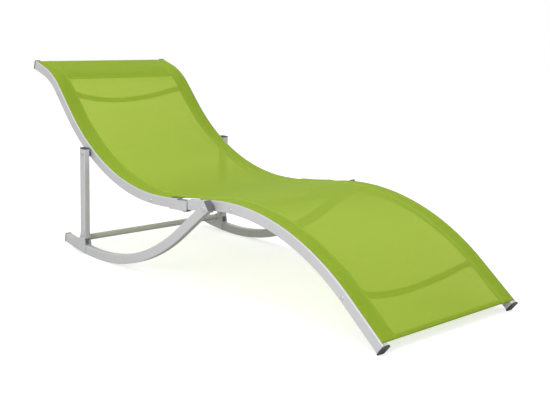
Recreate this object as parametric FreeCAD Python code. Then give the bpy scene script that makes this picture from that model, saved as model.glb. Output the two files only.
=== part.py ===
"""Folding rocking chaise lounge: an S-shaped rail frame on two curved legs.

Millimetres. +X runs from the head to the foot, +Z is up and Y = 0 is the plane of
symmetry. The origin is on the ground, under the middle of the lounge. The right-hand
side is at -Y. Each pair of rails is one profile drawn as a side view and swept.
"""
import FreeCAD
import Part
import math
import os

V = FreeCAD.Vector

# Driving dimensions of the side view
frame_width = 550.0
foot_end_height = 26.1
head_angle = -17.7
head_straight = 61.8
head_bend_radius = 222.8
head_bend_turn = 29.9
back_straight = 103.5
seat_radius = 675.8
seat_turn = 47.7
thigh_radius = 1549.7
thigh_turn = 8.9
knee_radius = 713.1
knee_turn = 48.3
foot_straight = 148.7

# Rail, an extruded aluminium tube with a keder groove along its top
rail_width = 20.0
rail_height = 30.0
tube_wall = 1.6
corner_radius = 2.5
groove_inset = 5.0
groove_depth = 5.0
groove_radius = 3.2
groove_slot = 2.2
groove_web = 1.6

# Curved legs
leg_width = 20.0
leg_height = 30.0
leg_gap = 8.0
leg_rear_radius = 1463.0
leg_rear_turn = 6.2
leg_mid_radius = 752.0
leg_mid_rear_turn = 4.2
leg_front_turn = 37.2
leg_end_margin = 17.0

# Pivots: the length from the head end of the rails, and the depth under the rails' top
hinge_x, hinge_depth = 869.5, 28.5
leg_pivot_x, leg_pivot_depth = 997.0, 21.7
post_top_x, post_top_depth = 360.6, 19.0
post_foot_back = 94.5
post_foot_rise = 32.6

# Posts
post_depth = 30.0
post_end_margin = 12.5

# Clearances and fits
running_gap = 0.3
bore_clearance = 0.05
screw_clearance = 0.2
keder_gap = 0.3
drill_over = 1.0
cut_reach = 100.0

# Hinge between the rear and the front rails
bracket_plate = 2.0
bracket_back = 72.0
bracket_front = 15.0
bracket_slope_back = 38.0
bracket_top_drop = 3.0
bracket_web_end = 20.0
bracket_nose_low = 6.5
bracket_nose_drop = 1.0
bracket_nose_front = 2.0
bracket_nose_back = 12.0
bracket_nose_bulge = 1.5
bracket_web_start = 1.0
rear_rail_cut = 34.0
front_rail_cut = 16.0
knuckle_radius = 9.0
tongue_tail_radius = 28.0
tongue_insert = 30.0
tongue_top_drop = 3.5
tongue_relief = 2.5
tongue_heel = 2.0
tongue_overlap = 1.0
rivet_radius = 2.5
rivet_margin = 12.0
rivet_head_radius = 4.5
rivet_head = 1.6
hinge_pin_head_radius = 6.0
hinge_pin_head = 1.8

# Pivot bolts
pivot_radius = 4.0
pivot_head_radius = 7.5
pivot_head = 3.0
washer_radius = 13.0
head_chamfer = 0.8
pivot_socket_width = 5.0
pivot_socket_depth = 1.8

# Crossbars
bar_radius = 9.0
bar_wall = 1.5
bar_insert = 22.0
bar_screw_radius = 3.0
bar_screw_head_radius = 5.5
bar_screw_head = 2.0
bar_screw_tip_gap = 4.0
bar_socket_width = 4.0
bar_socket_depth = 1.2
bar_drop = 19.0
bow_depth = 51.0
bow_turn = 25.0
bow_bend_radius = 60.0
head_bar_x = 167.0
seat_bar_x = 702.0
thigh_bar_x = 1084.0
foot_bar_x = 1520.0
base_bar_radius = 10.0
base_bar_back = 16.0
base_bar_drop = 16.0
base_bar_wall = 1.5
weld_leg = 3.0

# Caps and plugs
cap_flange = 4.0
cap_lip = 0.8
cap_insert = 16.0
cap_fit = 0.2
foot_cap_flange = 5.0
foot_cap_lip = 1.6
leg_cap_flange = 3.0
post_cap_flange = 4.0
post_plug_flange = 2.0
plug_insert = 6.0

# Leg bracket, a cheek plate on each side of the leg that holds the post's foot
cheek = 2.0
cheek_rear = 63.0
cheek_front = 17.0
ear_radius = 12.0
ear_drop = 3.0
ear_root = 18.0
ear_root_rise = 2.0
ear_root_bulge = 1.2
cheek_lip = 1.0
cheek_shoulder = 8.0
cheek_rivet_rear = 14.0
cheek_rivet_front = 12.0

# Sling
sling_thickness = 1.2
sling_lift = 0.3
keder_radius = 2.5
sling_head_margin = 3.0
sling_foot_margin = 3.0
sling_free_half = 58.0
sling_free_inset = 18.5
sling_split = 3.0

os.makedirs("parts", exist_ok=True)


class Spot:
    """A place on a side-view line: x and z, and the heading in degrees above +X."""

    def __init__(self, x, z, heading):
        self.x = x
        self.z = z
        self.heading = heading

    def along(self):
        a = math.radians(self.heading)
        return V(math.cos(a), 0, math.sin(a))

    def up(self):
        a = math.radians(self.heading)
        return V(-math.sin(a), 0, math.cos(a))

    def at(self, s, y, n):
        return V(self.x, y, self.z) + self.along() * s + self.up() * n

    def step(self, move):
        """The spot at the end of a straight run or of an arc that leaves from here."""
        if move[0] == "line":
            end = self.at(move[1], 0, 0)
            return Spot(end.x, end.z, self.heading)
        radius, turn = move[1], move[2]
        side = 1 if turn > 0 else -1
        turned = Spot(0, 0, self.heading + turn)
        end = self.at(0, 0, side * radius) - turned.up() * (side * radius)
        return Spot(end.x, end.z, self.heading + turn)


def length_of(move):
    return move[1] if move[0] == "line" else move[1] * math.radians(abs(move[2]))


def part_of(move, share):
    if move[0] == "line":
        return ("line", move[1] * share)
    return ("arc", move[1], move[2] * share)


def spot_at(start, moves, distance):
    """The spot at a distance along a line."""
    here = start
    left = distance
    for move in moves:
        if left <= length_of(move):
            return here.step(part_of(move, left / length_of(move)))
        left -= length_of(move)
        here = here.step(move)
    return here


def stretch(start, moves, first, last):
    """The start and the moves of the stretch of a line between two distances."""
    cut = []
    done = 0.0
    for move in moves:
        size = length_of(move)
        low = max(first, done)
        high = min(last, done + size)
        if high - low > 1e-6:
            cut.append(part_of(move, (high - low) / size))
        done += size
    return spot_at(start, moves, first), cut


def distance_at_x(start, moves, x):
    """The distance along a line at which it reaches x."""
    low = 0.0
    high = sum(length_of(m) for m in moves)
    for _ in range(60):
        middle = (low + high) / 2
        if spot_at(start, moves, middle).x < x:
            low = middle
        else:
            high = middle
    return (low + high) / 2


def swept(start, moves, section):
    """A section, a face made by section(spot), swept along a line of runs and arcs."""
    here = start
    solids = []
    for move in moves:
        face = section(here)
        if move[0] == "line":
            solids.append(face.extrude(here.along() * move[1]))
        else:
            radius, turn = move[1], move[2]
            side = 1 if turn > 0 else -1
            centre = here.at(0, 0, side * radius)
            solids.append(face.revolve(centre, V(0, -side, 0), abs(turn)))
        here = here.step(move)
    if len(solids) == 1:
        return solids[0]
    return solids[0].multiFuse(solids[1:]).removeSplitter()


def rectangle(spot, y0, y1, n0, n1, radius=0.0):
    """A face across a line, with rounded corners if radius is given."""
    if radius <= 0:
        corners = [spot.at(0, y0, n0), spot.at(0, y1, n0), spot.at(0, y1, n1), spot.at(0, y0, n1)]
        return Part.Face(Part.makePolygon(corners + corners[:1]))
    r = radius
    k = r * (1 - math.sqrt(0.5))
    edges = [
        Part.LineSegment(spot.at(0, y0 + r, n0), spot.at(0, y1 - r, n0)),
        Part.Arc(spot.at(0, y1 - r, n0), spot.at(0, y1 - k, n0 + k), spot.at(0, y1, n0 + r)),
        Part.LineSegment(spot.at(0, y1, n0 + r), spot.at(0, y1, n1 - r)),
        Part.Arc(spot.at(0, y1, n1 - r), spot.at(0, y1 - k, n1 - k), spot.at(0, y1 - r, n1)),
        Part.LineSegment(spot.at(0, y1 - r, n1), spot.at(0, y0 + r, n1)),
        Part.Arc(spot.at(0, y0 + r, n1), spot.at(0, y0 + k, n1 - k), spot.at(0, y0, n1 - r)),
        Part.LineSegment(spot.at(0, y0, n1 - r), spot.at(0, y0, n0 + r)),
        Part.Arc(spot.at(0, y0, n0 + r), spot.at(0, y0 + k, n0 + k), spot.at(0, y0 + r, n0)),
    ]
    return Part.Face(Part.Wire([e.toShape() for e in edges]))


def disc(spot, y, n, radius):
    circle = Part.Circle(spot.at(0, y, n), spot.along(), radius)
    return Part.Face(Part.Wire([circle.toShape()]))


def pin(x, z, y0, y1, radius):
    """A round bar across the lounge."""
    return Part.makeCylinder(radius, y1 - y0, V(x, y0, z), V(0, 1, 0))


def drill(x, z, y0, y1, radius):
    """A cutter for a round hole that goes right through from y0 to y1."""
    return pin(x, z, y0 - drill_over, y1 + drill_over, radius)


def plate(points, y0, y1):
    """A plate in the side plane, from a closed list of edges."""
    face = Part.Face(Part.Wire([e.toShape() for e in points]))
    face.translate(V(0, y0, 0))
    return face.extrude(V(0, y1 - y0, 0))


def line(a, b):
    return Part.LineSegment(V(a[0], 0, a[1]), V(b[0], 0, b[1]))


def arc(a, m, b):
    return Part.Arc(V(a[0], 0, a[1]), V(m[0], 0, m[1]), V(b[0], 0, b[1]))


def bulged(a, b, rise):
    """An arc from a to b whose middle stands off the chord, to the left of the way along it."""
    size = math.hypot(b[0] - a[0], b[1] - a[1])
    left = (-(b[1] - a[1]) / size, (b[0] - a[0]) / size)
    middle = ((a[0] + b[0]) / 2 + rise * left[0], (a[1] + b[1]) / 2 + rise * left[1])
    return arc(a, middle, b)


def polygon(points):
    return [line(points[i], points[(i + 1) % len(points)]) for i in range(len(points))]


def mirrored(shape):
    return shape.mirror(V(0, 0, 0), V(0, 1, 0))


def both(shape):
    return Part.makeCompound([shape, mirrored(shape)])


def group(shapes):
    return Part.makeCompound([s for shape in shapes for s in shape.Solids])


def bolt(x, z, tip, seat, radius, head_radius, head, side, socket_width=0.0, socket_depth=0.0):
    """A pin with a chamfered round head, which faces side, and a hexagon socket in it."""
    low, high = sorted((tip, seat))
    shank = pin(x, z, low, high, radius)
    top = Part.makeCylinder(head_radius, head, V(x, seat, z), V(0, side, 0))
    rim = [e for e in top.Edges if abs(e.BoundBox.YMin - (seat + side * head)) < 1e-6]
    top = top.makeChamfer(head_chamfer, [e for e in rim if e.BoundBox.YLength < 1e-6])
    whole = shank.fuse(top).removeSplitter()
    if socket_width <= 0:
        return whole
    reach = socket_width / math.sqrt(3)
    corners = []
    for i in range(6):
        a = math.radians(60 * i)
        corners.append((x + reach * math.cos(a), z + reach * math.sin(a)))
    face = seat + side * head
    low, high = sorted((face - side * socket_depth, face + side * drill_over))
    return whole.cut(plate(polygon(corners), low, high))


def dome(x, z, seat, radius, height, side):
    """A low round rivet head on its seat; side is the way it faces."""
    ball = (radius ** 2 + height ** 2) / (2 * height)
    half = math.asin(radius / ball) / 2
    top = seat + side * height
    shoulder = top - side * ball * (1 - math.cos(half))
    outline = [
        Part.LineSegment(V(x, seat, z), V(x + radius, seat, z)),
        Part.Arc(V(x + radius, seat, z), V(x + ball * math.sin(half), shoulder, z), V(x, top, z)),
        Part.LineSegment(V(x, top, z), V(x, seat, z)),
    ]
    face = Part.Face(Part.Wire([e.toShape() for e in outline]))
    return face.revolve(V(x, seat, z), V(0, 1, 0), 360)


def rivet(x, z, y0, y1, radius, head_radius, head):
    """A pin that is closed by a domed head on both sides."""
    heads = [dome(x, z, y0, head_radius, head, -1), dome(x, z, y1, head_radius, head, 1)]
    return pin(x, z, y0, y1, radius).fuse(heads).removeSplitter()


# The side view: the top edge of the rails, from the head end to the foot end
rail_moves = [
    ("line", head_straight),
    ("arc", head_bend_radius, -head_bend_turn),
    ("line", back_straight),
    ("arc", seat_radius, seat_turn),
    ("arc", thigh_radius, thigh_turn),
    ("arc", knee_radius, -knee_turn),
    ("line", foot_straight),
]
rail_length = sum(length_of(m) for m in rail_moves)
rail_raw = Spot(0.0, 0.0, head_angle)
foot_raw = spot_at(rail_raw, rail_moves, rail_length)
head_reach = rail_raw.at(-cap_flange, 0, -rail_height - cap_lip).x
foot_reach = foot_raw.at(foot_cap_flange, 0, foot_cap_lip).x
shift = -(head_reach + foot_reach) / 2
rail_start = Spot(shift, foot_end_height - foot_raw.z, head_angle)

outer = -frame_width / 2
inner = outer + rail_width
rail_middle = (outer + inner) / 2
groove_y = outer + groove_inset
leg_in = outer - leg_gap
leg_out = leg_in - leg_width


def rail_distance(x):
    """The distance along the rail's top edge at which it reaches x."""
    return distance_at_x(rail_start, rail_moves, x)


def rail_place(x, n):
    """The place at x on the line n above the rail's top edge, square to it."""
    place = spot_at(rail_start, rail_moves, rail_distance(x)).at(0, 0, n)
    return (place.x, place.z)


H = rail_place(hinge_x + shift, -hinge_depth)
P = rail_place(leg_pivot_x + shift, -leg_pivot_depth)
T = rail_place(post_top_x + shift, -post_top_depth)
rear_end = rail_distance(H[0] - rear_rail_cut)
front_begin = rail_distance(H[0] + front_rail_cut)
head_bar_at = rail_distance(head_bar_x + shift)
seat_bar_at = rail_distance(seat_bar_x + shift)
thigh_bar_at = rail_distance(thigh_bar_x + shift)
foot_bar_at = rail_distance(foot_bar_x + shift)


def rail_section(spot):
    """The rail's section: a rounded tube, a web, and the open groove above it."""
    body = rectangle(spot, outer, inner, -rail_height, 0, corner_radius)
    top = -groove_depth - groove_radius - groove_web
    cavity = rectangle(spot, outer + tube_wall, inner - tube_wall, -rail_height + tube_wall, top)
    groove = disc(spot, groove_y, -groove_depth, groove_radius)
    half = groove_slot / 2
    slot = rectangle(spot, groove_y - half, groove_y + half, -groove_depth, 1.0)
    return body.cut([cavity, groove, slot]).Faces[0]


def rail_hole(at_distance, radius):
    """A hole across the rail where a crossbar ends."""
    spot = spot_at(rail_start, rail_moves, at_distance)
    centre = spot.at(0, 0, -bar_drop)
    return drill(centre.x, centre.z, outer, inner, radius)


def make_rail(first, last, holes):
    start, moves = stretch(rail_start, rail_moves, first, last)
    return swept(start, moves, rail_section).cut(holes)


# Rear and front rails
bar_hole = bar_screw_radius + screw_clearance
pivot_hole = pivot_radius + bore_clearance
rivet_hole = rivet_radius + bore_clearance
bracket_rivet_x = [H[0] - bracket_back + rivet_margin, H[0] - rear_rail_cut - rivet_margin]
bracket_rivets = [rail_place(x, -rail_height / 2) for x in bracket_rivet_x]
rear_holes = [rail_hole(d, bar_hole) for d in (head_bar_at, seat_bar_at)]
rear_holes.append(drill(*T, outer, inner, pivot_hole))
rear_holes += [drill(x, z, outer, inner, rivet_hole) for x, z in bracket_rivets]
rear_rail = make_rail(0, rear_end, rear_holes)

front_holes = [rail_hole(d, bar_hole) for d in (thigh_bar_at, foot_bar_at)]
front_holes.append(drill(*P, outer, inner, pivot_hole))
tongue_rivet = rail_place(H[0] + front_rail_cut + tongue_insert / 2, -rail_height / 2)
tongue_hole = drill(*tongue_rivet, outer, inner, rivet_hole)
front_holes.append(tongue_hole)
front_rail = make_rail(front_begin, rail_length, front_holes)


# End caps of the rails: a flange over the end and an insert in the tube
def rail_insert(start, moves, fit):
    top = -groove_depth - groove_radius - groove_web - fit

    def section(spot):
        y0 = outer + tube_wall + fit
        y1 = inner - tube_wall - fit
        return rectangle(spot, y0, y1, -rail_height + tube_wall + fit, top)

    return swept(start, moves, section)


def flange(spot, depth, lip, y0, y1, n0, n1):
    face = rectangle(spot, y0 - lip, y1 + lip, n0 - lip, n1 + lip, corner_radius)
    return face.extrude(spot.along() * depth)


head_insert = rail_insert(*stretch(rail_start, rail_moves, 0, cap_insert), cap_fit)
head_back = Spot(rail_start.x, rail_start.z, rail_start.heading + 180)
head_flange = flange(head_back, cap_flange, cap_lip, outer, inner, 0, rail_height)
head_cap = head_insert.fuse(head_flange).removeSplitter()

foot_end = spot_at(rail_start, rail_moves, rail_length)
foot_insert = rail_insert(*stretch(rail_start, rail_moves, rail_length - cap_insert, rail_length), cap_fit)
foot_flange = flange(foot_end, foot_cap_flange, foot_cap_lip, outer, inner, -rail_height, 0)
foot_cap = foot_insert.fuse(foot_flange).removeSplitter()
ground = Part.makeBox(2 * cut_reach, 2 * cut_reach, cut_reach)
ground.translate(V(foot_end.x - cut_reach, rail_middle - cut_reach, -cut_reach))
foot_cap = foot_cap.cut(ground)

rear_plug = rail_insert(*stretch(rail_start, rail_moves, rear_end - cap_insert / 2, rear_end), cap_fit)


# Hinge bracket: two plates beside the rails and a web under the rear rail
plate_low = outer - running_gap
plate_high = inner + running_gap
back_x = H[0] - bracket_back
front_x = H[0] + bracket_front
nose_start = (front_x, H[1] - bracket_nose_drop)
nose_front = (H[0] + bracket_nose_front, H[1] - bracket_nose_low)
nose_back = (H[0] - bracket_nose_back, H[1] - bracket_nose_low)
back_top = rail_place(back_x, -bracket_top_drop)
back_low = rail_place(back_x, -rail_height - bracket_plate)
front_top = rail_place(front_x, -bracket_top_drop)
middle_top = rail_place((back_x + front_x) / 2, -bracket_top_drop)
web_low = rail_place(H[0] - bracket_slope_back, -rail_height - bracket_plate)
bracket_outline = [
    line(back_low, back_top),
    arc(back_top, middle_top, front_top),
    line(front_top, nose_start),
    bulged(nose_start, nose_front, bracket_nose_bulge),
    line(nose_front, nose_back),
    line(nose_back, web_low),
    line(web_low, back_low),
]
outer_plate = plate(bracket_outline, plate_low - bracket_plate, plate_low)
inner_plate = plate(bracket_outline, plate_high, plate_high + bracket_plate)
web_start = rail_distance(back_x + bracket_web_start)
web_end = rail_distance(H[0] - bracket_web_end)


def web_section(spot):
    return rectangle(spot, plate_low, plate_high, -rail_height - bracket_plate, -rail_height)


bracket_web = swept(*stretch(rail_start, rail_moves, web_start, web_end), web_section)
plate_outside = plate_low - bracket_plate
plate_inside = plate_high + bracket_plate
plate_holes = [drill(*H, plate_outside, plate_inside, pivot_radius)]
plate_holes += [drill(x, z, plate_outside, plate_inside, rivet_hole) for x, z in bracket_rivets]
hinge_bracket = outer_plate.fuse([inner_plate, bracket_web]).removeSplitter().cut(plate_holes)
bracket_rivet_pair = [
    rivet(x, z, plate_outside, plate_inside, rivet_radius, rivet_head_radius, rivet_head)
    for x, z in bracket_rivets
]
hinge_pin = rivet(*H, plate_outside, plate_inside, pivot_radius, hinge_pin_head_radius, hinge_pin_head)

# Hinge tongue: a block between the plates, with its tail on the web, and an insert
tongue_out = outer + running_gap
tongue_in = inner - running_gap
tail_x = H[0] - tongue_tail_radius
tongue_end = H[0] + front_rail_cut
tongue_outline = polygon([
    rail_place(tail_x, running_gap - rail_height),
    rail_place(H[0] - tongue_heel, running_gap - rail_height),
    rail_place(H[0] + knuckle_radius, tongue_relief - rail_height),
    rail_place(tongue_end, tongue_relief - rail_height),
    rail_place(tongue_end, -tongue_top_drop),
    rail_place(H[0] - tongue_heel, -tongue_top_drop),
    rail_place(tail_x, -tongue_top_drop),
])
tongue_body = plate(tongue_outline, tongue_out, tongue_in)
tail_bound = pin(H[0], H[1], tongue_out, tongue_in, tongue_tail_radius)
front_part = Part.makeBox(cut_reach, 2 * cut_reach, 2 * cut_reach)
front_part.translate(V(H[0], rail_middle - cut_reach, H[1] - cut_reach))
tongue_body = tongue_body.common(tail_bound.fuse(front_part))
knuckle = pin(H[0], H[1], tongue_out, tongue_in, knuckle_radius)
insert_end = rail_distance(tongue_end + tongue_insert)
insert_begin = rail_distance(tongue_end - tongue_overlap)
tongue_stub = rail_insert(*stretch(rail_start, rail_moves, insert_begin, insert_end), cap_fit)
tongue = tongue_body.fuse([knuckle, tongue_stub]).removeSplitter()
tongue = tongue.cut([drill(*H, outer, inner, pivot_hole), tongue_hole])
tongue_pin = rivet(*tongue_rivet, outer, inner, rivet_radius, rivet_head_radius, rivet_head)


# Crossbars, their end inserts, and the screws through the rails
def bar_centre(at_distance):
    spot = spot_at(rail_start, rail_moves, at_distance)
    centre = spot.at(0, 0, -bar_drop)
    return Spot(centre.x, centre.z, spot.heading)


def straight_bar(at_distance):
    c = bar_centre(at_distance)
    tube = pin(c.x, c.z, inner, -inner, bar_radius)
    return tube.cut(drill(c.x, c.z, inner, -inner, bar_radius - bar_wall))


def bowed_bar(at_distance):
    """A tube in one wide arc below the rails, between two bends and two straight ends."""
    c = bar_centre(at_distance)
    half = -inner
    turn = math.radians(bow_turn)
    bend_span = bow_bend_radius * math.sin(turn)
    bend_drop = bow_bend_radius * (1 - math.cos(turn))
    bow_radius = (bow_depth - bend_drop) / (1 - math.cos(turn))
    bow_half = bow_radius * math.sin(turn)
    bend_start = bow_half + bend_span
    middle_y = bend_start - bow_bend_radius * math.sin(turn / 2)
    middle_drop = bow_bend_radius * (1 - math.cos(turn / 2))

    def place(y, drop):
        return c.at(0, y, -drop)

    edges = [
        Part.LineSegment(place(-half, 0), place(-bend_start, 0)),
        Part.Arc(place(-bend_start, 0), place(-middle_y, middle_drop), place(-bow_half, bend_drop)),
        Part.Arc(place(-bow_half, bend_drop), place(0, bow_depth), place(bow_half, bend_drop)),
        Part.Arc(place(bow_half, bend_drop), place(middle_y, middle_drop), place(bend_start, 0)),
        Part.LineSegment(place(bend_start, 0), place(half, 0)),
    ]
    path = Part.Wire([e.toShape() for e in edges])
    solids = []
    for radius in (bar_radius, bar_radius - bar_wall):
        circle = Part.Wire([Part.Circle(place(-half, 0), V(0, 1, 0), radius).toShape()])
        solids.append(path.makePipeShell([circle], True, False))
    return solids[0].cut(solids[1])


def bar_ends(at_distance):
    """The threaded insert in each end of a crossbar and the screw through the rail."""
    c = bar_centre(at_distance)
    insert = pin(c.x, c.z, inner, inner + bar_insert, bar_radius - bar_wall)
    insert = insert.cut(drill(c.x, c.z, inner, inner + bar_insert, bar_screw_radius + bore_clearance))
    tip = inner + bar_insert - bar_screw_tip_gap
    screw = bolt(
        c.x, c.z, tip, outer, bar_screw_radius, bar_screw_head_radius, bar_screw_head, -1,
        bar_socket_width, bar_socket_depth,
    )
    return insert, screw


# Curved legs, drawn by their lower edge
# The front end holds the pivot P, and their lowest point is on the ground
slope = math.radians(leg_front_turn)
leg_corner = Spot(P[0], P[1], leg_front_turn).at(leg_end_margin, 0, -leg_height / 2)
leg_end = Spot(leg_corner.x, leg_corner.z, leg_front_turn)
leg_front_straight = (leg_end.z - leg_mid_radius * (1 - math.cos(slope))) / math.sin(slope)
leg_contact = leg_end.x - leg_front_straight * math.cos(slope) - leg_mid_radius * math.sin(slope)
contact = Spot(leg_contact, 0.0, 180.0)
rear_bend = contact.step(("arc", leg_mid_radius, -leg_mid_rear_turn))
rear_tip = rear_bend.step(("arc", leg_rear_radius, -leg_rear_turn))
leg_start = Spot(rear_tip.x, rear_tip.z, rear_tip.heading - 180)
leg_moves = [
    ("arc", leg_rear_radius, leg_rear_turn),
    ("arc", leg_mid_radius, leg_mid_rear_turn + leg_front_turn),
    ("line", leg_front_straight),
]
leg_length = sum(length_of(m) for m in leg_moves)


def leg_section(spot):
    body = rectangle(spot, leg_out, leg_in, 0, leg_height, corner_radius)
    wall = tube_wall
    return body.cut(rectangle(spot, leg_out + wall, leg_in - wall, wall, leg_height - wall)).Faces[0]


def leg_insert(first, last):
    start, moves = stretch(leg_start, leg_moves, first, last)
    gap = tube_wall + cap_fit

    def section(spot):
        return rectangle(spot, leg_out + gap, leg_in - gap, gap, leg_height - gap)

    return swept(start, moves, section)


def leg_height_at(x, n):
    """The height of the line n above the leg's lower edge, at x."""
    spot = spot_at(leg_start, leg_moves, distance_at_x(leg_start, leg_moves, x))
    return spot.at(0, 0, n).z


post_foot_x = leg_contact - post_foot_back
B = (post_foot_x, leg_height_at(post_foot_x, leg_height + post_foot_rise))
cheek_rivet_x = [B[0] - cheek_rear + cheek_rivet_rear, B[0] + cheek_front - cheek_rivet_front]
cheek_rivets = [(x, leg_height_at(x, leg_height / 2)) for x in cheek_rivet_x]
leg_holes = [drill(x, z, leg_out, leg_in, rivet_hole) for x, z in cheek_rivets]
leg_holes.append(drill(*P, leg_out, leg_in, pivot_hole))
leg = swept(leg_start, leg_moves, leg_section).cut(leg_holes)

rear_back = Spot(leg_start.x, leg_start.z, leg_start.heading + 180)
leg_rear_flange = flange(rear_back, leg_cap_flange, cap_lip, leg_out, leg_in, -leg_height, 0)
leg_rear_cap = leg_insert(0, cap_insert).fuse(leg_rear_flange).removeSplitter()
leg_front_flange = flange(leg_end, leg_cap_flange, cap_lip, leg_out, leg_in, 0, leg_height)
leg_front_cap = leg_insert(leg_length - plug_insert, leg_length).fuse(leg_front_flange).removeSplitter()

# Cheek plates of the leg brackets
cheek_back = B[0] - cheek_rear
cheek_fore = B[0] + cheek_front
low_back = leg_height_at(cheek_back, 0) + cheek_lip
low_fore = leg_height_at(cheek_fore, 0) + cheek_lip
top_back = leg_height_at(cheek_back, leg_height) + cheek_lip
top_fore = leg_height_at(cheek_fore, leg_height) + cheek_shoulder
ear_front = (B[0] + ear_radius, B[1])
ear_back = (B[0] - ear_radius, B[1])
ear_front_low = (B[0] + ear_radius, B[1] - ear_drop)
ear_back_low = (B[0] - ear_radius, B[1] - ear_drop)
root = (B[0] - ear_radius - ear_root, top_back + ear_root_rise)
cheek_outline = [
    line((cheek_back, low_back), (cheek_fore, low_fore)),
    line((cheek_fore, low_fore), (cheek_fore, top_fore)),
    line((cheek_fore, top_fore), ear_front_low),
    line(ear_front_low, ear_front),
    arc(ear_front, (B[0], B[1] + ear_radius), ear_back),
    line(ear_back, ear_back_low),
    bulged(ear_back_low, root, ear_root_bulge),
    line(root, (cheek_back, top_back)),
    line((cheek_back, top_back), (cheek_back, low_back)),
]
cheek_out = leg_out - cheek
cheek_in = leg_in + cheek
cheek_holes = [drill(x, z, cheek_out, cheek_in, rivet_hole) for x, z in cheek_rivets]
cheek_holes.append(drill(*B, cheek_out, cheek_in, pivot_hole))
outer_cheek = plate(cheek_outline, cheek_out, leg_out).cut(cheek_holes)
inner_cheek = plate(cheek_outline, leg_in, cheek_in).cut(cheek_holes)
cheek_rivet_pair = [
    rivet(x, z, cheek_out, cheek_in, rivet_radius, rivet_head_radius, rivet_head)
    for x, z in cheek_rivets
]

# Base crossbar, with a weld around each end that holds it to the inner cheek
base_x = B[0] - base_bar_back
base_z = B[1] - base_bar_drop
weld = Part.makeCone(
    base_bar_radius + weld_leg, base_bar_radius, weld_leg, V(base_x, cheek_in, base_z), V(0, 1, 0)
)
base_bar = pin(base_x, base_z, cheek_in, -cheek_in, base_bar_radius)
base_bar = base_bar.fuse([weld, mirrored(weld)]).removeSplitter()
base_bar = base_bar.cut(drill(base_x, base_z, cheek_in, -cheek_in, base_bar_radius - base_bar_wall))

# Posts
post_heading = math.degrees(math.atan2(T[1] - B[1], T[0] - B[0]))
post_reach = math.hypot(T[1] - B[1], T[0] - B[0])
post_out = leg_out + running_gap
post_in = leg_in - running_gap
half_depth = post_depth / 2
post_low = Spot(B[0], B[1], post_heading).step(("line", -post_end_margin))
post_high = Spot(T[0], T[1], post_heading).step(("line", post_end_margin))


def post_section(spot):
    body = rectangle(spot, post_out, post_in, -half_depth, half_depth, corner_radius)
    wall = tube_wall
    cavity = rectangle(spot, post_out + wall, post_in - wall, -half_depth + wall, half_depth - wall)
    return body.cut(cavity).Faces[0]


def post_insert(spot, depth):
    gap = tube_wall + cap_fit
    face = rectangle(spot, post_out + gap, post_in - gap, -half_depth + gap, half_depth - gap)
    return face.extrude(spot.along() * depth)


post = swept(post_low, [("line", post_reach + 2 * post_end_margin)], post_section)
post = post.cut([drill(x, z, post_out, post_in, pivot_hole) for x, z in (B, T)])
post_lid = flange(post_high, post_cap_flange, 0.0, post_out, post_in, -half_depth, half_depth)
post_cap = post_lid.fuse(post_insert(post_high, -plug_insert)).removeSplitter()
post_turned = Spot(post_low.x, post_low.z, post_low.heading + 180)
post_base = flange(post_turned, post_plug_flange, 0.0, post_out, post_in, -half_depth, half_depth)
post_plug = post_base.fuse(post_insert(post_low, plug_insert)).removeSplitter()

# Pivots: the post on the rear rail, the post's foot in its bracket, the leg on the front rail
def pivot_bolt(place, tip, seat, side):
    """A button-head bolt with its hexagon socket."""
    return bolt(
        *place, tip, seat, pivot_radius, pivot_head_radius, pivot_head, side,
        pivot_socket_width, pivot_socket_depth,
    )


def washer(place, y0, y1):
    return pin(*place, y0, y1, washer_radius).cut(drill(*place, y0, y1, pivot_hole))


def through_bolt(place, y0, y1):
    """A bolt with its socket on the outer side and a plain round nut on the inner side."""
    middle = (y0 + y1) / 2
    nut = bolt(*place, middle, y1, pivot_radius, pivot_head_radius, pivot_head, 1)
    return pivot_bolt(place, middle, y0, -1).fuse(nut).removeSplitter()


post_washer = washer(T, leg_in, outer)
rail_stud = pivot_bolt(T, leg_in, inner, 1)
post_stud = pivot_bolt(T, post_in, post_out, -1)
post_foot_bolt = through_bolt(B, cheek_out, cheek_in)
leg_bolt = through_bolt(P, leg_out, inner + running_gap)
leg_washer = washer(P, leg_in, outer - running_gap)

# Sling: a sheet over the rails, with an edge that turns down into the grooves
keder_depth = -groove_depth + groove_radius - keder_radius - keder_gap


def sheet_section(half_width, lips):
    def section(spot):
        low = sling_lift
        high = sling_lift + sling_thickness
        sheet = rectangle(spot, -half_width, half_width, low, high)
        if not lips:
            return sheet
        root = keder_depth + keder_radius + keder_gap
        edges = [
            spot.at(0, -half_width, high), spot.at(0, half_width, high), spot.at(0, half_width, root),
            spot.at(0, half_width - sling_thickness, root), spot.at(0, half_width - sling_thickness, low),
            spot.at(0, -half_width + sling_thickness, low), spot.at(0, -half_width + sling_thickness, root),
            spot.at(0, -half_width, root),
        ]
        return Part.Face(Part.makePolygon(edges + edges[:1]))

    return section


def sling(first, middle, last, lips_first):
    """A sheet in two stretches, one held in the grooves and one that is free of them."""
    wide = sheet_section(-groove_y + sling_thickness / 2, True)
    narrow = sheet_section(-groove_y - sling_free_inset, False)
    sections = (wide, narrow) if lips_first else (narrow, wide)
    one = swept(*stretch(rail_start, rail_moves, first, middle), sections[0])
    two = swept(*stretch(rail_start, rail_moves, middle, last), sections[1])
    return one.fuse(two).removeSplitter()


free_begin = rail_distance(H[0] - sling_free_half)
free_end = rail_distance(H[0] + sling_free_half)
split_begin = rail_distance(H[0] - sling_split)
split_end = rail_distance(H[0] + sling_split)
sling_end = rail_length - sling_foot_margin
sling_back = sling(sling_head_margin, free_begin, split_begin, True)
sling_leg = sling(split_end, free_end, sling_end, False)


def keder(first, last):
    start, moves = stretch(rail_start, rail_moves, first, last)
    return swept(start, moves, lambda spot: disc(spot, groove_y, keder_depth, keder_radius))


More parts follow.
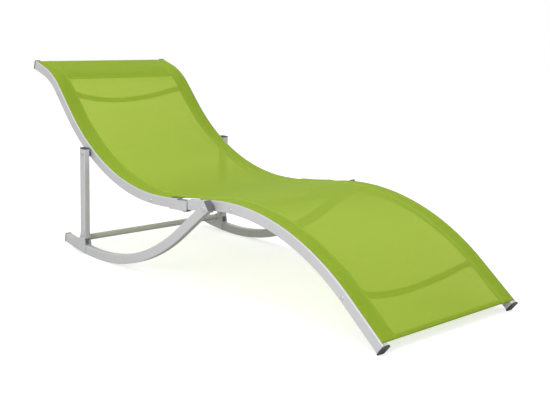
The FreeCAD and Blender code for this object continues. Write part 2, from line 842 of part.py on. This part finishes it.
back_keder = keder(sling_head_margin, free_begin)
leg_keder = keder(free_end, sling_end)

# Write every node; the right-hand side is drawn and the left-hand side mirrored
pairs = {
    "rear_rail": rear_rail,
    "front_rail": front_rail,
    "hinge_bracket": hinge_bracket,
    "hinge_tongue": tongue,
    "foot_cap": foot_cap,
    "curved_leg": leg,
    "outer_cheek": outer_cheek,
    "inner_cheek": inner_cheek,
    "post": post,
    "post_top_cap": post_cap,
    "post_foot_plug": post_plug,
    "post_stud": post_stud,
}
nodes = {}
for name, shape in pairs.items():
    nodes[name + "_right"] = shape
    nodes[name + "_left"] = mirrored(shape)

head_bar_insert, head_bar_screw = bar_ends(head_bar_at)
seat_bar_insert, seat_bar_screw = bar_ends(seat_bar_at)
thigh_bar_insert, thigh_bar_screw = bar_ends(thigh_bar_at)
foot_bar_insert, foot_bar_screw = bar_ends(foot_bar_at)
nodes["head_caps"] = both(head_cap)
nodes["rear_rail_plugs"] = both(rear_plug)
nodes["hinge_pins"] = both(hinge_pin)
nodes["bracket_rivets"] = group([both(r) for r in bracket_rivet_pair])
nodes["tongue_rivets"] = both(tongue_pin)
nodes["head_crossbar"] = bowed_bar(head_bar_at)
nodes["seat_crossbar"] = straight_bar(seat_bar_at)
nodes["thigh_crossbar"] = straight_bar(thigh_bar_at)
nodes["foot_crossbar"] = bowed_bar(foot_bar_at)
nodes["base_crossbar"] = base_bar
nodes["rear_bar_inserts"] = group([both(head_bar_insert), both(seat_bar_insert)])
nodes["front_bar_inserts"] = group([both(thigh_bar_insert), both(foot_bar_insert)])
nodes["rear_bar_screws"] = group([both(head_bar_screw), both(seat_bar_screw)])
nodes["front_bar_screws"] = group([both(thigh_bar_screw), both(foot_bar_screw)])
nodes["leg_rear_caps"] = both(leg_rear_cap)
nodes["leg_front_caps"] = both(leg_front_cap)
nodes["cheek_rivets"] = group([both(r) for r in cheek_rivet_pair])
nodes["post_washers"] = both(post_washer)
nodes["rail_studs"] = both(rail_stud)
nodes["post_foot_bolts"] = both(post_foot_bolt)
nodes["leg_bolts"] = both(leg_bolt)
nodes["leg_washers"] = both(leg_washer)
nodes["sling_back"] = sling_back
nodes["sling_leg"] = sling_leg
nodes["back_keder_rods"] = both(back_keder)
nodes["leg_keder_rods"] = both(leg_keder)

for name, shape in nodes.items():
    shape.exportStep("parts/" + name + ".step")
    print(name, len(shape.Solids), shape.isValid(), round(shape.Volume / 1000, 2))

print("shift", round(shift, 3))
for name, point in (("H", H), ("P", P), ("T", T), ("B", B)):
    print(name, round(point[0], 3), round(point[1], 3))
bounds = Part.makeCompound(list(nodes.values())).BoundBox
print("box", [round(v, 2) for v in (bounds.XMin, bounds.YMin, bounds.ZMin, bounds.XMax, bounds.YMax, bounds.ZMax)])
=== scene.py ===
import math
import bpy
from mathutils import Matrix, Vector


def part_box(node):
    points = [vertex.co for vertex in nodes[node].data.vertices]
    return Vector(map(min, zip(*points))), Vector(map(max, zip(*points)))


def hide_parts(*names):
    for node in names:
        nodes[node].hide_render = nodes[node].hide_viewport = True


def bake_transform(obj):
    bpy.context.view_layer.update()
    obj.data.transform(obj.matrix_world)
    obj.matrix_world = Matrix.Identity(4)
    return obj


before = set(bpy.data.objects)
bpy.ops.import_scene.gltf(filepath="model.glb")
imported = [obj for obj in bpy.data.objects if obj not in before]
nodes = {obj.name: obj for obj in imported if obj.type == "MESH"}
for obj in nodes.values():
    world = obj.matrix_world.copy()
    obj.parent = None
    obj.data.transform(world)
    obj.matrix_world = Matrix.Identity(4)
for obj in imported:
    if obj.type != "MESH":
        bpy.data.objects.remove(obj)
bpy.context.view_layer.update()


# Side rails: two S-shaped aluminium extrusions on each side, bent to one line, with a
# keder groove along their top. They carry a satin silver powder coat, whose skin is
# finely pebbled and whose tone drifts a little along the tube.
def pebble_group():
    """The skin of a coat or a moulding, in Object coordinates: speckle, drift of tone, height."""
    group = bpy.data.node_groups.new("pebbled_skin", "ShaderNodeTree")
    for name, value in (("Grain", 900.0), ("Drift", 9.0), ("Depth", 0.5)):
        socket = group.interface.new_socket(name, in_out="INPUT", socket_type="NodeSocketFloat")
        socket.default_value = value
    for name in ("Speckle", "Tone", "Height"):
        group.interface.new_socket(name, in_out="OUTPUT", socket_type="NodeSocketFloat")
    start = group.nodes.new("NodeGroupInput")
    end = group.nodes.new("NodeGroupOutput")
    place = group.nodes.new("ShaderNodeTexCoord")
    grain = group.nodes.new("ShaderNodeTexNoise")
    grain.inputs["Detail"].default_value = 2.0
    drift = group.nodes.new("ShaderNodeTexNoise")
    drift.inputs["Detail"].default_value = 3.0
    height = group.nodes.new("ShaderNodeMath")
    height.operation = "MULTIPLY"
    link = group.links.new
    link(place.outputs["Object"], grain.inputs["Vector"])
    link(place.outputs["Object"], drift.inputs["Vector"])
    link(start.outputs["Grain"], grain.inputs["Scale"])
    link(start.outputs["Drift"], drift.inputs["Scale"])
    link(grain.outputs["Fac"], height.inputs[0])
    link(start.outputs["Depth"], height.inputs[1])
    link(grain.outputs["Fac"], end.inputs["Speckle"])
    link(drift.outputs["Fac"], end.inputs["Tone"])
    link(height.outputs[0], end.inputs["Height"])
    return group


pebbled_skin = pebble_group()
roughness_spread = 0.06
pebble_height = 0.0002


def pebbled_finish(name, light_tone, dark_tone, roughness, metallic, grain, relief):
    """A finish that drifts between two tones, on a pebbled skin."""
    finish = bpy.data.materials.new(name)
    finish.use_nodes = True
    n = finish.node_tree.nodes
    link = finish.node_tree.links.new
    bsdf = n["Principled BSDF"]
    bsdf.inputs["Metallic"].default_value = metallic
    skin = n.new("ShaderNodeGroup")
    skin.node_tree = pebbled_skin
    skin.inputs["Grain"].default_value = grain
    tone = n.new("ShaderNodeMix")
    tone.data_type = "RGBA"
    tone.inputs[6].default_value = (*dark_tone, 1)
    tone.inputs[7].default_value = (*light_tone, 1)
    sheen = n.new("ShaderNodeMapRange")
    sheen.inputs["To Min"].default_value = roughness - roughness_spread
    sheen.inputs["To Max"].default_value = roughness + roughness_spread
    bump = n.new("ShaderNodeBump")
    bump.inputs["Strength"].default_value = relief
    bump.inputs["Distance"].default_value = pebble_height
    link(skin.outputs["Tone"], tone.inputs[0])
    link(tone.outputs[2], bsdf.inputs["Base Color"])
    link(skin.outputs["Speckle"], sheen.inputs["Value"])
    link(sheen.outputs["Result"], bsdf.inputs["Roughness"])
    link(skin.outputs["Height"], bump.inputs["Height"])
    link(bump.outputs["Normal"], bsdf.inputs["Normal"])
    return finish


def dress(names, finish):
    """Gives the nodes a finish."""
    for name in names:
        for held in nodes[name].material_slots:
            held.material = finish


def both_sides(*names):
    """The right-hand and left-hand nodes of each name."""
    return [name + side for name in names for side in ("_right", "_left")]


silver_light = (0.52, 0.52, 0.53)
silver_dark = (0.47, 0.47, 0.48)
silver_coat = pebbled_finish("silver_coat", silver_light, silver_dark, 0.40, 0.25, 1400.0, 0.35)
dress(both_sides("rear_rail", "front_rail"), silver_coat)

# End caps of the rails: black polypropylene mouldings with a spark-eroded skin, pushed
# into the tubes. The foot caps are bigger and stand on the floor. A plug closes the rear
# rail at the seat hinge.
black_light = (0.050, 0.050, 0.053)
black_dark = (0.028, 0.028, 0.031)
black_moulding = pebbled_finish("black_moulding", black_light, black_dark, 0.50, 0.0, 2200.0, 0.5)
dress(both_sides("foot_cap") + ["head_caps", "rear_rail_plugs"], black_moulding)

# Seat hinges: a folded aluminium bracket riveted over the end of each rear rail, coated
# as the rails, and a dark moulded tongue riveted into the front rail, which turns between
# the bracket's plates on a steel pin. Pins and rivets are zinc-plated.
zinc_light = (0.60, 0.60, 0.61)
zinc_dark = (0.50, 0.50, 0.51)
zinc_plate = pebbled_finish("zinc_plate", zinc_light, zinc_dark, 0.38, 0.6, 600.0, 0.15)
tongue_light = (0.26, 0.26, 0.27)
tongue_dark = (0.21, 0.21, 0.22)
grey_moulding = pebbled_finish("grey_moulding", tongue_light, tongue_dark, 0.45, 0.0, 1800.0, 0.3)
dress(both_sides("hinge_bracket"), silver_coat)
dress(both_sides("hinge_tongue"), grey_moulding)
dress(["hinge_pins", "bracket_rivets", "tongue_rivets"], zinc_plate)

# Crossbars: round coated tubes between the rails. Those under the head and the calves are
# bowed clear of the sitter. A grey nylon insert in each end takes a socket screw that
# comes through the rail.
nylon_light = (0.115, 0.115, 0.12)
nylon_dark = (0.085, 0.085, 0.09)
grey_nylon = pebbled_finish("grey_nylon", nylon_light, nylon_dark, 0.45, 0.0, 1800.0, 0.3)
dress(["head_crossbar", "seat_crossbar", "thigh_crossbar", "foot_crossbar"], silver_coat)
dress(["rear_bar_inserts", "front_bar_inserts"], grey_nylon)
dress(["rear_bar_screws", "front_bar_screws"], zinc_plate)

# Curved legs: rectangular coated tubes bent to the rocking line, closed by grey caps at
# both ends. Each hangs on the front rail by a bolt, with a nylon spacer between them.
dress(both_sides("curved_leg"), silver_coat)
dress(["leg_rear_caps", "leg_front_caps", "leg_washers"], grey_nylon)
dress(["leg_bolts"], zinc_plate)

# Leg brackets: two coated cheek plates riveted to the sides of each leg. Their ears take
# the post's foot, and the base crossbar is welded between the inner ones.
dress(both_sides("outer_cheek", "inner_cheek") + ["base_crossbar"], silver_coat)
dress(["cheek_rivets", "post_foot_bolts"], zinc_plate)

# Posts: rectangular coated tubes that hold up the back, with a black cap on top and a
# black plug at the foot. A socket bolt and a stud meet in the spacer beside the rail.
dress(both_sides("post"), silver_coat)
dress(both_sides("post_top_cap", "post_foot_plug"), black_moulding)
dress(both_sides("post_stud") + ["rail_studs"], zinc_plate)
dress(["post_washers"], grey_nylon)

# Keder rods: smooth off-white PVC cord, which holds the sling's edges in the grooves.
cord_light = (0.60, 0.60, 0.56)
cord_dark = (0.54, 0.54, 0.50)
dress(
    ["back_keder_rods", "leg_keder_rods"],
    pebbled_finish("keder_cord", cord_light, cord_dark, 0.35, 0.0, 500.0, 0.1),
)

# Sling: one taut sheet of lime green coated-polyester mesh from the head to the foot. Its
# side edges turn down into the rails' grooves, except beside the seat hinges, where they
# are free and curl up a little. Light comes through it, and the bars show through.
half_length = 0.817699
head_angle = -17.7
foot_end_height = 0.0261
rail_moves = [
    ("line", 0.0618),
    ("arc", 0.2228, -29.9),
    ("line", 0.1035),
    ("arc", 0.6758, 47.7),
    ("arc", 1.5497, 8.9),
    ("arc", 0.7131, -48.3),
    ("line", 0.1487),
]
rail_step = 0.006
groove_y = 0.270
cloth_clear = 0.0009
cloth_thick = 0.0009
cloth_start = 0.006
cloth_margin = 0.008
seat_lift = 0.005
seat_hollow = (0.28, 0.92)
knee_sink = 0.0045
knee_crown = (1.12, 1.72)
tension_ramp = 0.25
lip_depth = 0.004
lip_turn = 0.0006
free_reach = 0.058
free_inset = 0.0046
free_ramp = 0.030
free_curl = 0.0045
curl_start = 0.235
rows_along = 300
columns_across = 44


def rail_spots():
    """The rails' top edge, from the head, as a list of (distance, x, z, heading)."""
    x, z, heading = 0.0, 0.0, math.radians(head_angle)
    listed = [(0.0, x, z, heading)]
    gone = 0.0
    for move in rail_moves:
        turn = math.radians(move[2]) if move[0] == "arc" else 0.0
        size = move[1] * abs(turn) if turn else move[1]
        count = max(1, round(size / rail_step))
        for _ in range(count):
            half = abs(turn) / count / 2
            chord = size / count * (math.sin(half) / half if half else 1.0)
            middle = heading + turn / count / 2
            x += chord * math.cos(middle)
            z += chord * math.sin(middle)
            heading += turn / count
            gone += size / count
            listed.append((gone, x, z, heading))
    rise = foot_end_height - z
    return [(d, sx - half_length, sz + rise, h) for d, sx, sz, h in listed]


spots = rail_spots()
rail_reach = spots[-1][0]
cloth_end = rail_reach - cloth_margin
hinge_low, hinge_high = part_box("hinge_pins")
hinge_x = (hinge_low.x + hinge_high.x) / 2


def spot_at(distance):
    """A place on the rails' top edge, between two of the listed ones."""
    distance = min(max(distance, 0.0), rail_reach)
    index = next(i for i, spot in enumerate(spots) if i and distance <= spot[0] + 1e-9)
    a, b = spots[index - 1], spots[index]
    t = (distance - a[0]) / (b[0] - a[0])
    return [a[i] + t * (b[i] - a[i]) for i in range(4)]


def smooth(t):
    t = min(max(t, 0.0), 1.0)
    return t * t * (3 - 2 * t)


def hump(distance, first, last):
    """Rises from 0 to 1 after first and falls back to 0 at last."""
    return smooth((distance - first) / tension_ramp) * smooth((last - distance) / tension_ramp)


def free_share(distance):
    """1 beside the seat hinges, where the cloth's edge is out of the groove, and 0 elsewhere."""
    x = spot_at(distance)[1]
    return smooth((free_reach + free_ramp - abs(x - hinge_x)) / free_ramp)


def cloth_point(distance, y, lift=0.0):
    """A place on the cloth. Tension lifts it in the seat's hollow and lowers it at the knee."""
    _, x, z, heading = spot_at(distance)
    taut = seat_lift * hump(distance, *seat_hollow) - knee_sink * hump(distance, *knee_crown)
    curl = free_curl * free_share(distance) * smooth((abs(y) - curl_start) / (groove_y - curl_start))
    n = cloth_clear + lift + curl + taut * (1 - (y / groove_y) ** 2)
    return Vector((x - n * math.sin(heading), y, z + n * math.cos(heading)))


def strip(rows):
    """The places, faces and flat coordinates of rows of (distance, y, lift)."""
    places = [cloth_point(*spot) for row in rows for spot in row]
    flat = [(spot[1], spot[0]) for row in rows for spot in row]
    width = len(rows[0])
    faces = []
    for i in range(len(rows) - 1):
        for j in range(width - 1):
            a = i * width + j
            faces.append((a, a + width, a + width + 1, a + 1))
    return places, faces, flat


def sewn_sheet(name, strips, thickness):
    """One mesh of several strips, with the flat cloth's coordinates and a thickness."""
    places, faces, flat = [], [], []
    for some_places, some_faces, some_flat in strips:
        base = len(places)
        places += some_places
        flat += some_flat
        faces += [tuple(base + corner for corner in face) for face in some_faces]
    mesh = bpy.data.meshes.new(name)
    mesh.from_pydata(places, [], faces)
    layer = mesh.uv_layers.new(name="flat_cloth")
    for loop in mesh.loops:
        layer.data[loop.index].uv = flat[loop.vertex_index]
    mesh.shade_smooth()
    piece = bpy.data.objects.new(name, mesh)
    bpy.context.scene.collection.objects.link(piece)
    body = piece.modifiers.new("thickness", "SOLIDIFY")
    body.thickness = thickness
    body.offset = 0.0
    return piece


weave_pitch = 0.0016
crossing_rise = 0.25


def weave_group():
    """Open mesh on the flat cloth's coordinates: round threads both ways, and the gaps between."""
    group = bpy.data.node_groups.new("mesh_weave", "ShaderNodeTree")
    for name, value in (("Pitch", weave_pitch), ("Gap", 0.4)):
        socket = group.interface.new_socket(name, in_out="INPUT", socket_type="NodeSocketFloat")
        socket.default_value = value
    for name in ("Height", "Open"):
        group.interface.new_socket(name, in_out="OUTPUT", socket_type="NodeSocketFloat")
    start = group.nodes.new("NodeGroupInput")
    end = group.nodes.new("NodeGroupOutput")
    flat = group.nodes.new("ShaderNodeUVMap")
    flat.uv_map = "flat_cloth"
    split = group.nodes.new("ShaderNodeSeparateXYZ")
    group.links.new(flat.outputs["UV"], split.inputs[0])

    def maths(kind, *values):
        node = group.nodes.new("ShaderNodeMath")
        node.operation = kind
        for socket, value in zip(node.inputs, values):
            if isinstance(value, float):
                socket.default_value = value
            else:
                group.links.new(value, socket)
        return node.outputs[0]

    waves = []
    for axis in ("X", "Y"):
        turns = maths("DIVIDE", split.outputs[axis], start.outputs["Pitch"])
        waves.append(maths("SINE", maths("MULTIPLY", turns, math.pi)))
    across, along = maths("ABSOLUTE", waves[0]), maths("ABSOLUTE", waves[1])
    thread = maths("MAXIMUM", across, along)
    over_and_under = maths("MULTIPLY", maths("MULTIPLY", waves[0], waves[1]), crossing_rise)
    group.links.new(maths("ADD", thread, over_and_under), end.inputs["Height"])
    group.links.new(maths("LESS_THAN", thread, start.outputs["Gap"]), end.inputs["Open"])
    return group


mesh_weave = weave_group()
thread_roughness = 0.6
thread_relief = 0.35
thread_height = 0.0004


def mesh_cloth(name, thread_crown_lit, thread_hollow_shaded, gap, glow, glow_share, gap_tint):
    """Coated threads that pass some light, painted darker in the weave's hollows, with gaps to see
    through, which close at a slant.
    """
    finish = bpy.data.materials.new(name)
    finish.use_nodes = True
    n = finish.node_tree.nodes
    link = finish.node_tree.links.new
    bsdf = n["Principled BSDF"]
    bsdf.inputs["Roughness"].default_value = thread_roughness
    bsdf.inputs["Specular IOR Level"].default_value = 0.10
    weave = n.new("ShaderNodeGroup")
    weave.node_tree = mesh_weave
    weave.inputs["Gap"].default_value = gap
    # Painted shade: the threads' tone runs from the darker colour where the weave sinks to the lighter
    # colour on its crowns.
    weave_shade_share = n.new("ShaderNodeMapRange")
    weave_shade_share.inputs["From Min"].default_value = 0.2
    weave_shade_share.inputs["From Max"].default_value = 1.1
    tone = n.new("ShaderNodeMix")
    tone.data_type = "RGBA"
    tone.inputs[6].default_value = (*thread_hollow_shaded, 1)
    tone.inputs[7].default_value = (*thread_crown_lit, 1)
    bump = n.new("ShaderNodeBump")
    bump.inputs["Strength"].default_value = thread_relief
    bump.inputs["Distance"].default_value = thread_height
    back_light = n.new("ShaderNodeBsdfTranslucent")
    back_light.inputs["Color"].default_value = (*glow, 1)
    threads = n.new("ShaderNodeMixShader")
    threads.inputs[0].default_value = glow_share
    clear = n.new("ShaderNodeBsdfTransparent")
    clear.inputs["Color"].default_value = (*gap_tint, 1)
    slant = n.new("ShaderNodeLayerWeight")
    slant.inputs["Blend"].default_value = 0.5
    square_on = n.new("ShaderNodeMath")
    square_on.operation = "SUBTRACT"
    square_on.inputs[0].default_value = 1.0
    clear_share = n.new("ShaderNodeMath")
    clear_share.operation = "MULTIPLY"
    cloth = n.new("ShaderNodeMixShader")
    link(slant.outputs["Facing"], square_on.inputs[1])
    link(square_on.outputs[0], clear_share.inputs[0])
    link(weave.outputs["Open"], clear_share.inputs[1])
    link(weave.outputs["Height"], weave_shade_share.inputs["Value"])
    link(weave_shade_share.outputs["Result"], tone.inputs[0])
    link(tone.outputs[2], bsdf.inputs["Base Color"])
    link(weave.outputs["Height"], bump.inputs["Height"])
    link(bump.outputs["Normal"], bsdf.inputs["Normal"])
    link(bsdf.outputs[0], threads.inputs[1])
    link(back_light.outputs[0], threads.inputs[2])
    link(clear_share.outputs[0], cloth.inputs[0])
    link(threads.outputs[0], cloth.inputs[1])
    link(clear.outputs[0], cloth.inputs[2])
    link(cloth.outputs[0], n["Material Output"].inputs["Surface"])
    return finish


def along_cloth(i):
    """The distance from the head of the cloth's row i."""
    return cloth_start + (cloth_end - cloth_start) * i / rows_along


sling_rows = []
for i in range(rows_along + 1):
    distance = along_cloth(i)
    free = free_share(distance)
    edge = groove_y - free_inset * free
    lip = -lip_turn - lip_depth * (1 - free)
    flat_half = edge - lip_turn
    row = [(distance, -edge, lip), (distance, -edge, -lip_turn)]
    row += [(distance, flat_half * (2 * j / columns_across - 1), 0.0) for j in range(columns_across + 1)]
    row += [(distance, edge, -lip_turn), (distance, edge, lip)]
    sling_rows.append(row)
sling = sewn_sheet("sling", [strip(sling_rows)], cloth_thick)
# The sling's lime in two tones: the lighter one on the weave's crowns, the darker one painted shade in
# its hollows.
lime_crown_lit = (0.41, 0.565, 0.053)
lime_hollow_shaded = (0.32, 0.455, 0.040)
lime_glow = (0.20, 0.27, 0.040)
gap_tint = (0.92, 1.0, 0.28)
top_gap = 0.90
under_gap = 0.965
glow_through = 0.35
sling_faces = (("sling_cloth", top_gap, gap_tint), ("sling_underside", under_gap, (1, 1, 1)))
for name, gap, tint in sling_faces:
    face = mesh_cloth(name, lime_crown_lit, lime_hollow_shaded, gap, lime_glow, glow_through, tint)
    sling.data.materials.append(face)
sling.modifiers["thickness"].material_offset = 1

# Hems: along both sides, over the head end and at the foot the cloth is folded under and
# sewn down. It is double there, which shuts the mesh's gaps and keeps the light out.
side_hem_y = 0.217
side_hem_edge = 0.002
head_hem_end = 0.147
foot_hem_width = 0.014
hem_sink = -0.0011
hem_thick = 0.0008
hem_glow_through = 0.10
hem_columns = 30
hem_strips = []
for side in (-1, 1):
    rows = []
    for i in range(rows_along + 1):
        distance = along_cloth(i)
        edge = groove_y - side_hem_edge - free_inset * free_share(distance)
        ys = [side * (side_hem_y + (edge - side_hem_y) * j / 4) for j in range(5)]
        rows.append([(distance, y, hem_sink) for y in (ys if side > 0 else ys[::-1])])
    hem_strips.append(strip(rows))
for first, last in ((cloth_start, head_hem_end), (cloth_end - foot_hem_width, cloth_end)):
    steps = max(3, round((last - first) / rail_step))
    rows = []
    for i in range(steps + 1):
        distance = first + (last - first) * i / steps
        ys = [side_hem_y * (2 * j / hem_columns - 1) for j in range(hem_columns + 1)]
        rows.append([(distance, y, hem_sink) for y in ys])
    hem_strips.append(strip(rows))
hems = sewn_sheet("sling_hems", hem_strips, hem_thick)
hems.data.materials.append(
    mesh_cloth("hem_cloth", lime_crown_lit, lime_hollow_shaded, 0.0, lime_glow, hem_glow_through, gap_tint)
)

# Seams: lockstitch in a thread of the sling's colour. Two rows hold each side hem, two the
# head hem and one the foot hem.
stitch_pitch = 0.0040
stitch_length = 0.0032
thread_radius = 0.00030
seam_rise = 0.0006
seam_inset = 0.003
seam_spread = 0.005


def seam_path(mesh_name, runs):
    """The rows of stitching as a mesh of bare edges, each run a list of (distance, y)."""
    places, edges = [], []
    for run in runs:
        base = len(places)
        places += [cloth_point(distance, y, seam_rise) for distance, y in run]
        edges += [(base + i, base + i + 1) for i in range(len(run) - 1)]
    mesh = bpy.data.meshes.new(mesh_name)
    mesh.from_pydata(places, edges, [])
    return mesh


def stitch_tree():
    """Geometry nodes that lay one short thread at every pitch along the edges of a mesh."""
    tree = bpy.data.node_groups.new("stitches_along", "GeometryNodeTree")
    tree.interface.new_socket("Geometry", in_out="INPUT", socket_type="NodeSocketGeometry")
    sizes = (("Pitch", stitch_pitch), ("Length", stitch_length), ("Radius", thread_radius))
    for name, value in sizes:
        socket = tree.interface.new_socket(name, in_out="INPUT", socket_type="NodeSocketFloat")
        socket.default_value = value
    tree.interface.new_socket("Thread", in_out="INPUT", socket_type="NodeSocketMaterial")
    tree.interface.new_socket("Geometry", in_out="OUTPUT", socket_type="NodeSocketGeometry")
    new = tree.nodes.new
    link = tree.links.new
    start = new("NodeGroupInput")
    end = new("NodeGroupOutput")
    path = new("GeometryNodeMeshToCurve")
    spaced = new("GeometryNodeResampleCurve")
    spaced.mode = "LENGTH"
    on_points = new("GeometryNodeInstanceOnPoints")
    turned = new("FunctionNodeAlignEulerToVector")
    turned.axis = "Z"
    tangent = new("GeometryNodeInputTangent")
    thread = new("GeometryNodeMeshCylinder")
    thread.fill_type = "TRIANGLE_FAN"
    thread.inputs["Vertices"].default_value = 6
    real = new("GeometryNodeRealizeInstances")
    painted = new("GeometryNodeSetMaterial")
    link(start.outputs["Geometry"], path.inputs["Mesh"])
    link(path.outputs["Curve"], spaced.inputs["Curve"])
    link(start.outputs["Pitch"], spaced.inputs["Length"])
    link(spaced.outputs["Curve"], on_points.inputs["Points"])
    link(tangent.outputs["Tangent"], turned.inputs["Vector"])
    link(turned.outputs["Rotation"], on_points.inputs["Rotation"])
    link(start.outputs["Radius"], thread.inputs["Radius"])
    link(start.outputs["Length"], thread.inputs["Depth"])
    link(thread.outputs["Mesh"], on_points.inputs["Instance"])
    link(on_points.outputs["Instances"], real.inputs["Geometry"])
    link(real.outputs["Geometry"], painted.inputs["Geometry"])
    link(start.outputs["Thread"], painted.inputs["Material"])
    link(painted.outputs["Geometry"], end.inputs["Geometry"])
    return tree


seam_thread = bpy.data.materials.new("seam_thread")
seam_thread.use_nodes = True
thread_bsdf = seam_thread.node_tree.nodes["Principled BSDF"]
thread_bsdf.inputs["Base Color"].default_value = (0.37, 0.52, 0.045, 1)
thread_bsdf.inputs["Roughness"].default_value = 0.6

seam_runs = []
for side in (-1, 1):
    for row in (0, 1):
        y = side * (side_hem_y + seam_inset + seam_spread * row)
        seam_runs.append([(along_cloth(i), y) for i in range(rows_along + 1)])
head_seam = head_hem_end - seam_inset
foot_seam = cloth_end - foot_hem_width + seam_inset
for distance in (head_seam, head_seam - seam_spread, foot_seam):
    ys = [side_hem_y * (2 * j / hem_columns - 1) for j in range(hem_columns + 1)]
    seam_runs.append([(distance, y) for y in ys])
seam_lines = bpy.data.objects.new("seam_lines", seam_path("seam_lines", seam_runs))
bpy.context.scene.collection.objects.link(seam_lines)
stitching = seam_lines.modifiers.new("stitching", "NODES")
stitching.node_group = stitch_tree()
seam_sizes = {
    "Pitch": stitch_pitch,
    "Length": stitch_length,
    "Radius": thread_radius,
    "Thread": seam_thread,
}
for item in stitching.node_group.interface.items_tree:
    if item.in_out == "INPUT" and item.name in seam_sizes:
        stitching[item.identifier] = seam_sizes[item.name]
bpy.context.view_layer.update()
sewn = seam_lines.evaluated_get(bpy.context.evaluated_depsgraph_get())
seams = bpy.data.objects.new("sling_seams", bpy.data.meshes.new_from_object(sewn))
bpy.context.scene.collection.objects.link(seams)
seam_lines.modifiers.clear()
bpy.data.objects.remove(seam_lines)

for piece in (sling, hems, seams):
    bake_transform(piece)
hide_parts("sling_back", "sling_leg")


# Room: a plain pale floor in an even, soft studio light. The light is strongest from above
# and from the near side, and weaker from the far side and from below. A glow that only the
# camera sees keeps the floor as pale as the backdrop, and its shadows faint.
def background(light, name, strength):
    """A plain white surrounding of the given strength."""
    glow = light.nodes.new("ShaderNodeBackground")
    glow.name = name
    glow.inputs["Color"].default_value = (1, 1, 1, 1)
    glow.inputs["Strength"].default_value = strength
    return glow


floor_reach = 14.0
floor_shine = 0.62
corners = [(-1, -1), (1, -1), (1, 1), (-1, 1)]
floor_mesh = bpy.data.meshes.new("floor")
floor_places = [(x * floor_reach, y * floor_reach, 0.0) for x, y in corners]
floor_mesh.from_pydata(floor_places, [], [(0, 1, 2, 3)])
floor = bpy.data.objects.new("floor", floor_mesh)
bpy.context.scene.collection.objects.link(floor)
floor_paint = bpy.data.materials.new("floor_paint")
floor_paint.use_nodes = True
floor_bsdf = floor_paint.node_tree.nodes["Principled BSDF"]
floor_bsdf.inputs["Base Color"].default_value = (0.50, 0.50, 0.50, 1)
floor_bsdf.inputs["Roughness"].default_value = 0.9
floor_bsdf.inputs["Specular IOR Level"].default_value = 0.1
floor_bsdf.inputs["Emission Color"].default_value = (1, 1, 1, 1)
floor_sight = floor_paint.node_tree.nodes.new("ShaderNodeLightPath")
floor_glow = floor_paint.node_tree.nodes.new("ShaderNodeMath")
floor_glow.operation = "MULTIPLY"
floor_glow.inputs[1].default_value = floor_shine
floor_paint.node_tree.links.new(floor_sight.outputs["Is Camera Ray"], floor_glow.inputs[0])
floor_paint.node_tree.links.new(floor_glow.outputs[0], floor_bsdf.inputs["Emission Strength"])
floor_mesh.materials.append(floor_paint)

studio = bpy.data.worlds.new("studio")
studio.use_nodes = True
light = studio.node_tree
bright = background(light, "near_and_above", 1.05)
dim = background(light, "far_side", 0.66)
seen = background(light, "backdrop", 1.0)
facing = light.nodes.new("ShaderNodeTexCoord")
slope = light.nodes.new("ShaderNodeVectorMath")
slope.operation = "DOT_PRODUCT"
slope.inputs[1].default_value = (0.0, -0.5, 0.6)
share = light.nodes.new("ShaderNodeMapRange")
share.inputs["From Min"].default_value = -0.8
share.inputs["From Max"].default_value = 0.8
lit = light.nodes.new("ShaderNodeMixShader")
view = light.nodes.new("ShaderNodeMixShader")
path = light.nodes.new("ShaderNodeLightPath")
light.links.new(facing.outputs["Generated"], slope.inputs[0])
light.links.new(slope.outputs["Value"], share.inputs["Value"])
light.links.new(share.outputs["Result"], lit.inputs[0])
light.links.new(dim.outputs[0], lit.inputs[1])
light.links.new(bright.outputs[0], lit.inputs[2])
light.links.new(path.outputs["Is Camera Ray"], view.inputs[0])
light.links.new(lit.outputs[0], view.inputs[1])
light.links.new(seen.outputs[0], view.inputs[2])
light.links.new(view.outputs[0], light.nodes["World Output"].inputs["Surface"])
bpy.context.scene.world = studio


def soft_light(name, place, target, size, watts):
    """A rectangular lamp that looks at a target."""
    lamp = bpy.data.lights.new(name, "AREA")
    lamp.shape = "RECTANGLE"
    lamp.size, lamp.size_y = size
    lamp.energy = watts
    stand = bpy.data.objects.new(name, lamp)
    bpy.context.scene.collection.objects.link(stand)
    aim = Vector(target) - Vector(place)
    turn = aim.to_track_quat("-Z", "Y").to_matrix().to_4x4()
    stand.matrix_world = Matrix.Translation(place) @ turn


soft_light("near_side_light", (1.8, -3.2, 1.5), (0.5, 0.0, 0.25), (1.8, 1.6), 75)
soft_light("overhead_light", (0.5, 0.0, 4.0), (0.1, 0.0, 0.0), (4.5, 4.5), 45)

# Camera: a long lens off the foot end and the near side, a little above the sling.
camera_place = Vector((2.1153, -1.7927, 0.7373))
camera_heading = math.radians(137.71)
camera_down = math.radians(10.94)
camera_roll = math.radians(0.70)
ahead = Vector((
    math.cos(camera_down) * math.cos(camera_heading),
    math.cos(camera_down) * math.sin(camera_heading),
    -math.sin(camera_down),
))
level = Vector((math.sin(camera_heading), -math.cos(camera_heading), 0.0))
upright = level.cross(ahead)
right = math.cos(camera_roll) * level + math.sin(camera_roll) * upright
up = math.cos(camera_roll) * upright - math.sin(camera_roll) * level
lens = bpy.data.cameras.new("photo_camera")
lens.lens = 58.51
lens.sensor_width = 36.0
lens.sensor_fit = "HORIZONTAL"
camera = bpy.data.objects.new("photo_camera", lens)
bpy.context.scene.collection.objects.link(camera)
aimed = Matrix((right, up, -ahead)).transposed().to_4x4()
camera.matrix_world = Matrix.Translation(camera_place) @ aimed
bpy.context.scene.camera = camera
bpy.context.scene.view_settings.view_transform = "Standard"
